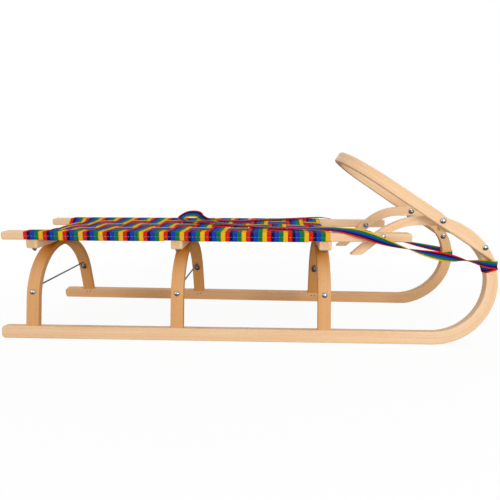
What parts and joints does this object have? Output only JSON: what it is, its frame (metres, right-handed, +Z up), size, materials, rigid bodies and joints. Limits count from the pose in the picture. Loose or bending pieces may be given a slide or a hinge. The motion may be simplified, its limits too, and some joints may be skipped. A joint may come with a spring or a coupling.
{
  "type": "wooden horn sled",
  "caption": "Bentwood sled with curled runners on bent arches, a woven striped webbing seat between rails, a bent horn hoop at the front and a webbing pull strap.",
  "frame": {"origin": "on the floor, under the middle of the sled's length and width", "axes": "+X forward to the curled front, +Y to the rider's left, +Z up"},
  "size_m": [1.2076, 0.3584, 0.4548],
  "materials": {
    "wood": "satin lacquer",
    "zinc_steel": "zinc plated",
    "webbing": "woven striped webbing",
    "pull_strap": "woven striped webbing"
  },
  "bodies": {
    "root": {"runner_left": "wood", "runner_right": "wood", "rail_left": "wood", "rail_right": "wood", "brace_left": "wood", "brace_right": "wood", "arch_rear": "wood", "arch_middle": "wood", "arch_front": "wood", "crossbar_rear": "wood", "crossbar_middle": "wood", "crossbar_front": "wood", "horn_hoop": "wood", "tie_rod_rear": "zinc_steel", "tie_rod_middle": "zinc_steel", "tie_rod_front": "zinc_steel", "seat_cross_straps": "webbing", "seat_long_straps": "webbing", "pull_strap": "pull_strap", "strap_loop_left": "pull_strap", "strap_loop_right": "pull_strap"}
  },
  "joints": []
}
